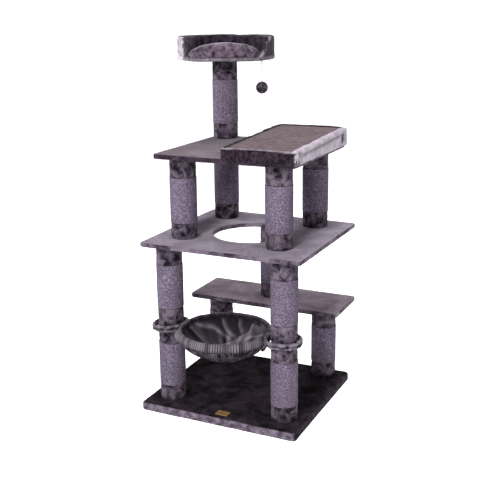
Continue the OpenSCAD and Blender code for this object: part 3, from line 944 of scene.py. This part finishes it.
def bowl():
    """The velour bowl: rolled over the hoop, gathered at its edge and folded towards its floor."""
    segs, steps = 720, 34
    theta = TAU * np.arange(segs) / segs
    around = np.stack([np.cos(theta), np.sin(theta), 0 * theta], -1)
    # Each fold: how high in mm, then its crest's course as shares of the hoop's radius, in a frame
    # turned FOLD_TURN from the row frame. A fold falls steeply to the left of its course.
    folds = (
        (17, ((0.06, 0.60), (-0.13, 0.73), (-0.30, 0.82), (-0.67, 0.72))),
        (19, ((0.20, 0.62), (0.02, 0.80), (-0.06, 0.96))),
        (20, ((0.36, 0.55), (0.62, 0.54), (0.71, 0.66), (0.83, 0.53))),
        (19, ((-0.46, 0.22), (-0.63, 0.40), (-0.82, 0.45))),
        (9, ((-0.24, 0.40), (0.23, 0.53), (0.66, 0.42), (0.92, 0.20))),
        (10, ((0.18, 0.34), (0.57, 0.30), (0.95, 0.02))),
        (10, ((0.40, 0.72), (0.36, 0.90))),
        (12, ((-0.35, -0.10), (-0.72, -0.15), (-0.93, -0.25))),
        (10, ((-0.25, -0.35), (-0.45, -0.82))),
        (9, ((0.02, -0.40), (0.10, -0.92))),
        (12, ((0.35, -0.25), (0.58, -0.74))),
        (9, ((0.45, -0.05), (0.88, -0.38))),
    )

    def away(degrees):
        """Each direction's turn from the given one, from -pi to pi."""
        return (theta - math.radians(degrees) + math.pi) % TAU - math.pi

    def fold(r):
        """Height of the folds round one ring of that share of the radius, and the light on them."""
        u, v = r * np.cos(theta - FOLD_TURN), r * np.sin(theta - FOLD_TURN)
        total, shine = 0 * theta, 0 * theta
        for high, course in folds:
            near = np.full(segs, 9.0)
            side_of = 0 * theta
            for (ax, ay), (bx, by) in zip(course, course[1:]):
                dx, dy = bx - ax, by - ay
                length = math.hypot(dx, dy)
                t = np.clip(((u - ax) * dx + (v - ay) * dy) / length ** 2, 0, 1)
                gap = np.hypot(u - ax - t * dx, v - ay - t * dy)
                across = ((v - ay) * dx - (u - ax) * dy) / length
                side_of = np.where(gap < near, across, side_of)
                near = np.minimum(near, gap)
            steep = side_of > 0
            bump = np.exp(-((near / np.where(steep, 0.055, 0.150)) ** 2)) * high / 1000
            total = np.maximum(total, bump)
            shine = np.maximum(shine, np.exp(-((near / np.where(steep, 0.020, 0.075)) ** 2)))
        return total, shine

    def drop(s):
        """Share of the radius and of the depth at share s of the way from the floor to the edge."""
        r = math.sin(math.pi / 2 * s)
        return r, (1 - r ** 1.55) ** 0.68

    def creases(size, seed, s=0.0):
        return noise(around + np.array([0, 0, 0.4 * s]), size, seed)

    phase = 1.6 * creases(0.9, 91) + 0.8 * creases(0.3, 92)
    uneven = 0.8 + 0.5 * creases(0.22, 90)

    def rib(slant=0.0):
        """The small gathers of the drawn-in edge: -0.6 between them, 0.4 on them."""
        return (np.abs(np.sin(theta * 58 + phase + slant)) ** 0.8 - 0.6) * uneven

    # The cloth bulges a little on the left, below the place where the ring pulls it.
    side = np.exp(-((away(205) / math.radians(15)) ** 2))
    rings, painted_light = [], []
    for i in range(1, steps + 1):
        s = i / steps
        r, deep = drop(s)
        f, shine = fold(r / 0.955)
        wave = 0.0030 * creases(0.35, 93, s) + 0.0018 * creases(0.12, 94, s)
        f = f * (1 - step(r, 0.94, 1.0)) + wave * min(1, 3 * s)
        rings.append((HOOP_R * 0.955 * r - f * 0.5 * s, INSIDE_TOP - INSIDE_DEPTH * deep + f * 0.85))
        # Painted highlights on the folds' crests, and painted light on the back of the floor and towards
        # its middle, in streaks.
        streak = 0.5 + 0.8 * creases(0.16, 95, s)
        low_back = np.exp(-(((r * np.sin(theta - FOLD_TURN) - 0.42) / 0.22) ** 2))
        broad = (0.42 * low_back + 0.14 * (1 - s)) * streak
        painted_light.append(0.04 + 0.62 * shine * (0.45 + 0.55 * streak) + broad)
    for deg in range(-10, 191, 20):
        b = math.radians(180 - deg)
        sag = 0.0055 if deg < 90 else 0.0075
        w = rib()
        r = HOOP_R + 0.0108 * math.cos(b) + 0.0022 * w * math.cos(b)
        z = HOOP[2] - sag * (1 - abs(math.sin(b))) + 0.0105 * math.sin(b)
        z = z + 0.0022 * w * max(0.0, math.sin(b))
        rings.append((r + 0.0012 * creases(0.1, 96), z + 0.0012 * creases(0.15, 97)))
        # Painted light on the roll's top and outside, lighter on the gathers.
        lit = 0.12 + 0.40 * step(deg, 20, 80)
        painted_light.append(lit * (0.7 + 1.4 * w) * (0.75 + 0.5 * creases(0.09, 89)))
    # Under the roll: how far out and how high, how deep the gathers are, and how much painted light, which
    # fades to painted shade at the band's lower edge. The left bulge gets painted light too.
    for dr, z0, share, light in (
        (0.0122, 0.3925, 0.0028, 0.54),
        (0.0130, 0.3870, 0.0034, 0.42),
        (0.0122, 0.3820, 0.0038, 0.26),
        (0.0095, 0.3785, 0.0038, 0.10),
        (0.0055, 0.3770, 0.0028, 0.0),
    ):
        w = rib(0.25 * (0.40 - z0) / 0.02)
        rings.append((HOOP_R + dr + share * w + 0.012 * side, z0 + 0.002 * creases(0.13, 98)))
        painted_light.append(light * (0.65 + 1.5 * w) * (0.75 + 0.5 * creases(0.09, 89)) + 0.35 * side * (0.5 + w))
    for i in range(steps):
        s = 1 - i / steps
        r, deep = drop(s)
        f, _ = fold(r)
        crease = 1 - 2.4 * np.abs(creases(0.085, 99, s))
        pleat = 0.0052 * crease * s ** 0.7 + 0.003 * rib() * step(s, 0.75, 1.0)
        bulge = 0.020 * side * step(s, 0.45, 0.85)
        z = UNDER_TOP - UNDER_DEPTH * deep + 0.55 * f - 0.5 * pleat
        rings.append(((HOOP_R + 0.003) * r + (pleat + bulge) * 0.8, z))
        # Painted highlights on the pleats near the rim, and painted light on the left bulge.
        lit_side = 0.4 * side * step(s, 0.7, 0.95) * (0.5 + 0.5 * crease)
        painted_light.append(0.26 * step(crease, 0.45, 1.0) * s ** 2 + lit_side)
    centre = HOOP * (1, 1, 0)
    verts = [centre + (0, 0, float(rings[0][1].mean()))]
    for r, z in rings:
        verts += list(np.stack([HOOP[0] + r * np.cos(theta), HOOP[1] + r * np.sin(theta), z], -1))
    verts.append(centre + (0, 0, float(rings[-1][1].mean()) - 0.0005))
    faces = [(0, 1 + k, 1 + (k + 1) % segs) for k in range(segs)]
    for i in range(len(rings) - 1):
        here, below = 1 + i * segs, 1 + (i + 1) * segs
        for k in range(segs):
            l = (k + 1) % segs
            faces.append((here + k, below + k, below + l, here + l))
    base = 1 + (len(rings) - 1) * segs
    faces += [(len(verts) - 1, base + (k + 1) % segs, base + k) for k in range(segs)]
    o = from_data("hammock_bowl", verts, faces)
    outward(o.data)
    set_painted_light(o.data, np.concatenate([[0.15], np.concatenate(painted_light), [0.0]]))
    return finish_piece(o, MATS["hammock_velour"], "hammock_velour", "stand", "hammock_fabric")


def ring_point(side, angle, r, z):
    """A point of a ring's own frame in the row frame, with the ring's sag."""
    sign = -1 if side == "left" else 1
    inner = HOOP + (sign * (RING_X - RING_R), 0, 0)
    flat = sign * (RING_R - r * math.cos(angle))
    sag = RING_SAG[side]
    along = flat * math.cos(sag) + sign * z * math.sin(sag)
    up = -sign * flat * math.sin(sag) + z * math.cos(sag)
    return inner + np.array([along, r * math.sin(angle), up])


def ring_sleeve(side):
    """The fabric sleeve on a ring, creased along its middle. Angle 0 is where it meets the hoop."""
    section, height = [], []
    for w, h in circle(0, 0, 1, 20):
        height.append(abs(h))
        section.append((0.0088 * w * (1 - 0.22 * math.exp(-((h / 0.35) ** 2))), -0.005 + 0.0145 * h))
    rings = []
    for i in range(128):
        a = TAU * i / 128
        ring = []
        for u, v in section:
            q = np.array([[math.cos(a), math.sin(a), v * 12 + (0 if side == "left" else 5)]])
            wob = float(0.0012 * noise(q, 0.25, 101)[0] + 0.0009 * noise(q, 0.09, 102)[0])
            k = 1 + wob / 0.009
            ring.append(ring_point(side, a, RING_R + u * k, v * k + 0.0015 * math.sin(3 * a + 1)))
        rings.append(ring)
    verts, faces = tube_rings(rings, closed=True)
    o = from_data("hammock_ring_sleeve_" + side, verts, faces)
    outward(o.data)
    # Painted light on the sleeve's upper and lower faces, and painted shade along its middle crease,
    # broken by noise.
    edge = step(np.tile(height, 128), 0.1, 0.6)
    set_painted_light(o.data, 0.10 + 0.42 * edge + 0.40 * noise(coords(o.data), 0.014, 103))
    return finish_piece(o, MATS["hammock_velour"], "hammock_velour", "stand")


def web(side, front):
    """The gusset that joins a ring's sleeve to the bowl beside the place where they touch."""
    sign = -1 if side == "left" else 1
    turn = -1 if front else 1
    rows, cols = 12, 9
    hoop_r = HOOP_R + 0.004
    sheet = []
    for i in range(rows + 1):
        t = i / rows
        ring_angle = math.radians(4 + 44 * t) * turn
        a = ring_point(side, ring_angle, RING_R - 0.004, -0.002 - 0.010 * t)
        hoop_angle = (math.pi if side == "left" else 0) + sign * turn * math.radians(1.5 + 17 * t)
        b = HOOP + (hoop_r * math.cos(hoop_angle), hoop_r * math.sin(hoop_angle), -0.012 - 0.016 * t)
        row = []
        for k in range(cols + 1):
            c = k / cols
            p = a * (1 - c) + b * c
            p = p - (0, 0, (0.004 + 0.016 * t) * math.sin(math.pi * c))
            row.append(p + (0, 0, 0.002 * math.sin(9 * t + 5 * c)))
        sheet.append(row)
    top = np.array(sheet)
    low = top - (0, 0, 0.0035)
    w = cols + 1
    verts = list(top.reshape(-1, 3)) + list(low.reshape(-1, 3))
    n = (rows + 1) * w
    faces = []
    for i in range(rows):
        for k in range(cols):
            a = i * w + k
            faces += [(a, a + 1, a + w + 1, a + w), (n + a, n + a + w, n + a + w + 1, n + a + 1)]
    rim = list(range(w)) + [i * w + cols for i in range(1, rows + 1)]
    rim += [rows * w + k for k in range(cols - 1, -1, -1)] + [i * w for i in range(rows - 1, 0, -1)]
    for p, q in zip(rim, rim[1:] + rim[:1]):
        faces.append((p, q, n + q, n + p))
    o = from_data(f"hammock_web_{side}_{'front' if front else 'back'}", verts, faces)
    outward(o.data)
    # Painted light in noisy patches over the gusset.
    set_painted_light(o.data, 0.45 + 0.6 * noise(coords(o.data), 0.015, 104))
    return finish_piece(o, MATS["hammock_velour"], "hammock_velour", "stand")


hammock = bowl()
sleeves = [ring_sleeve(side) for side in ("left", "right")]
webs = [web(side, front) for side in ("left", "right") for front in (True, False)]


# ---------------------------------------------------------------- label
def label_plate():
    """A blank metal plate with a raised border and a rivet at each end."""
    lo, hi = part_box("label_plate")
    mid, half = (lo + hi) / 2, (hi - lo) / 2
    rings = []
    for inset, z in ((0, 0), (0, 0.0022), (0.0006, 0.0028), (0.0022, 0.0028), (0.0028, 0.0023)):
        size = Vector((half.x - inset, half.y - inset, 0))
        outline = rounded_outline(mid - size, mid + size, max(0.003 - inset, 0.0004), 4)
        rings.append([(x, y, lo.z + z) for x, y in outline])
    verts, faces = tube_rings(rings)
    for end in (-1, 1):
        rivet = []
        for r, z in ((0.0020, 0.0018), (0.0019, 0.0026), (0.0011, 0.0031)):
            outline = circle(mid.x + end * (half.x - 0.007), mid.y, r, 16)
            rivet.append([(x, y, lo.z + z) for x, y in outline])
        v, f = tube_rings(rivet)
        faces += [[i + len(verts) for i in face] for face in f]
        verts += v
    o = from_data("label_plate_blank", verts, faces)
    outward(o.data)
    return finish_piece(o, MATS["label_metal"], "label_metal", "stand", "label_plate", smooth=False)


label_plate()

# ---------------------------------------------------------------- stage
bm = bmesh.new()
bmesh.ops.create_grid(bm, x_segments=2, y_segments=2, size=40)
floor = from_bmesh("floor", bm)
g = Graph("floor_paint")
paint = g.close(lin((225, 225, 228)), g.noise(3.0, 2.0), 0.02, 0.001, roughness=0.9)
glow = g.node("ShaderNodeEmission", {"Color": (1, 1, 1, 1), "Strength": 0.80})
both = g.node("ShaderNodeAddShader", {0: g.bsdf.outputs[0], 1: glow.outputs[0]})
g.tree.links.new(both.outputs[0], g.tree.nodes["Material Output"].inputs["Surface"])
floor.data.materials.append(paint)

world = bpy.data.worlds.new("studio")
bpy.context.scene.world = world
world.use_nodes = True
tree = world.node_tree
# The backdrop is white where it is seen, and lights the object only a little.
lighting = tree.nodes["Background"]
lighting.inputs["Color"].default_value = (1, 1, 1, 1)
lighting.inputs["Strength"].default_value = 0.22
backdrop = tree.nodes.new("ShaderNodeBackground")
backdrop.inputs["Color"].default_value = (1, 1, 1, 1)
backdrop.inputs["Strength"].default_value = 1.0
pick = tree.nodes.new("ShaderNodeMixShader")
tree.links.new(tree.nodes.new("ShaderNodeLightPath").outputs["Is Camera Ray"], pick.inputs[0])
tree.links.new(lighting.outputs[0], pick.inputs[1])
tree.links.new(backdrop.outputs[0], pick.inputs[2])
tree.links.new(pick.outputs[0], tree.nodes["World Output"].inputs["Surface"])


def area_light(name, place, target, size, power):
    data = bpy.data.lights.new(name, "AREA")
    data.shape = "DISK"
    data.size = size
    data.energy = power
    o = bpy.data.objects.new(name, data)
    bpy.context.scene.collection.objects.link(o)
    o.matrix_world = Matrix.Translation(place) @ (
        (Vector(target) - Vector(place)).to_track_quat("-Z", "Y").to_matrix().to_4x4()
    )


area_light("key", (0.2, -3.6, 3.0), (0, 0, 0.8), 1.3, 150)
area_light("side", (-3.2, -0.8, 2.4), (0, 0, 0.9), 1.6, 38)
area_light("fill", (3.4, -1.2, 2.2), (0, 0, 0.9), 1.8, 26)
area_light("top", (0.2, 0.4, 4.0), (0, 0, 0), 2.6, 60)
area_light("rear", (0.6, 3.6, 2.6), (0, 0, 0.9), 2.0, 45)
bpy.context.scene.view_settings.view_transform = "Standard"
bpy.context.scene.view_settings.look = "Medium High Contrast"
